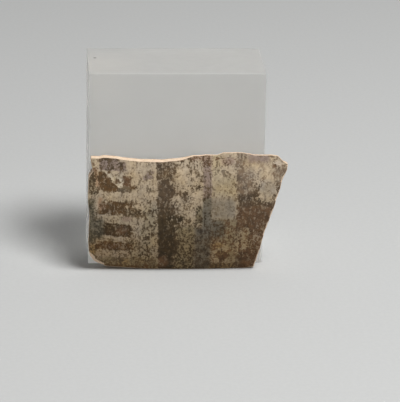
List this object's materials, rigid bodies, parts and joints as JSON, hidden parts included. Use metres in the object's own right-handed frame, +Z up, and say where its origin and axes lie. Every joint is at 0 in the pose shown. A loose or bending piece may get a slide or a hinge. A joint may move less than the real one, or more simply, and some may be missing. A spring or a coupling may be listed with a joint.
{
  "type": "museum display block with pottery sherd",
  "caption": "Frosted acrylic display block with a curved, painted pottery sherd standing against its front face, held by hidden wax dots and free to be drawn straight off.",
  "frame": {"origin": "centre of the display block's underside, on the surface that the block and the sherd stand on", "axes": "+Z up, +Y to the back so that the sherd stands on the -Y side, +X to the right seen from the front"},
  "size_m": [0.0566, 0.034, 0.057],
  "materials": {
    "frosted_acrylic": "sanded, frosted and translucent",
    "fired_clay": "matt worn slip with dark painted bars and bands, cream broken edges",
    "museum_wax": "soft, dull and slightly translucent"
  },
  "bodies": {
    "block": {"display_block": "frosted_acrylic", "wax_dot_left": "museum_wax", "wax_dot_right": "museum_wax"},
    "sherd": {"sherd": "fired_clay"}
  },
  "joints": [
    {"name": "sherd_pull_off", "type": "slide", "parent": "block", "child": "sherd", "axis": [0, -1, 0], "range_m": [0, 0.05]}
  ]
}
